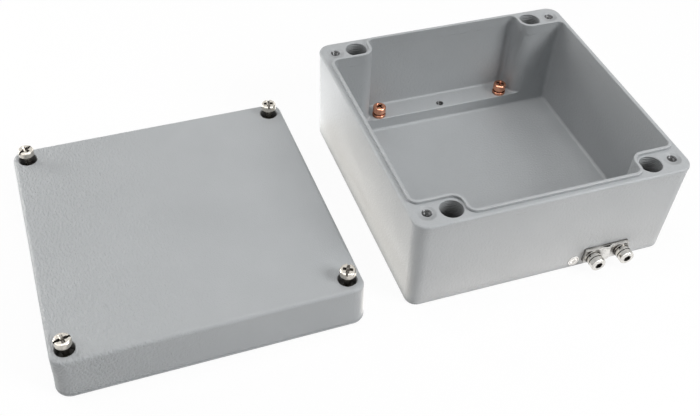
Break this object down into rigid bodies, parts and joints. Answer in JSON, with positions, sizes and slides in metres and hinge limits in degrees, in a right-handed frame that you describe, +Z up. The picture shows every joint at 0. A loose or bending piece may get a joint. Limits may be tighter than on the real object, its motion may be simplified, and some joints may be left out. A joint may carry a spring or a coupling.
{
  "type": "die cast aluminium enclosure",
  "caption": "Square die cast aluminium box standing open, with corner bosses, a tongued rim, inner earth screws, an outer earth terminal and its lid with captive screws lying beside it.",
  "frame": {"origin": "middle of the base's underside, on the surface it stands on", "axes": "+X to the right along the face that carries the outer earth terminal, +Y from that face to the back of the box, +Z up out of the open base; the lid lies toward -X"},
  "size_m": [0.3439, 0.1687, 0.0631],
  "materials": {
    "cast_aluminium": "fine matt cast",
    "gasket_rubber": "matt",
    "plated_steel": "bright plated",
    "stainless_steel": "bright",
    "copper": "bright copper",
    "sign_white": "satin"
  },
  "bodies": {
    "base": {"base_casting": "cast_aluminium", "inner_earth_screw_left": "copper", "inner_earth_screw_right": "copper", "inner_spring_washer_left": "copper", "inner_spring_washer_right": "copper", "inner_cup_washer_left": "copper", "inner_cup_washer_right": "copper", "outer_earth_back_plate": "stainless_steel", "outer_earth_clamp_plate": "stainless_steel", "outer_earth_screw_left": "stainless_steel", "outer_earth_screw_right": "stainless_steel", "outer_spring_washer_left": "stainless_steel", "outer_spring_washer_right": "stainless_steel", "outer_flat_washer_left": "stainless_steel", "outer_flat_washer_right": "stainless_steel", "earth_sign_disc": "sign_white"},
    "lid": {"lid_casting": "cast_aluminium", "lid_gasket": "gasket_rubber"},
    "lid_screw_front_left": {"lid_screw_front_left": "plated_steel"},
    "lid_screw_front_right": {"lid_screw_front_right": "plated_steel"},
    "lid_screw_back_left": {"lid_screw_back_left": "plated_steel"},
    "lid_screw_back_right": {"lid_screw_back_right": "plated_steel"}
  },
  "joints": [
    {"name": "lid_lift", "type": "slide", "parent": "base", "child": "lid", "axis": [0, 0, 1], "range_m": [0, 0.12]},
    {"name": "screw_slide_front_left", "type": "slide", "parent": "lid", "child": "lid_screw_front_left", "axis": [0, 0, 1], "range_m": [-0.0108, 0.0032]},
    {"name": "screw_slide_front_right", "type": "slide", "parent": "lid", "child": "lid_screw_front_right", "axis": [0, 0, 1], "range_m": [-0.0108, 0.0032]},
    {"name": "screw_slide_back_left", "type": "slide", "parent": "lid", "child": "lid_screw_back_left", "axis": [0, 0, 1], "range_m": [-0.0108, 0.0032]},
    {"name": "screw_slide_back_right", "type": "slide", "parent": "lid", "child": "lid_screw_back_right", "axis": [0, 0, 1], "range_m": [-0.0108, 0.0032]}
  ]
}
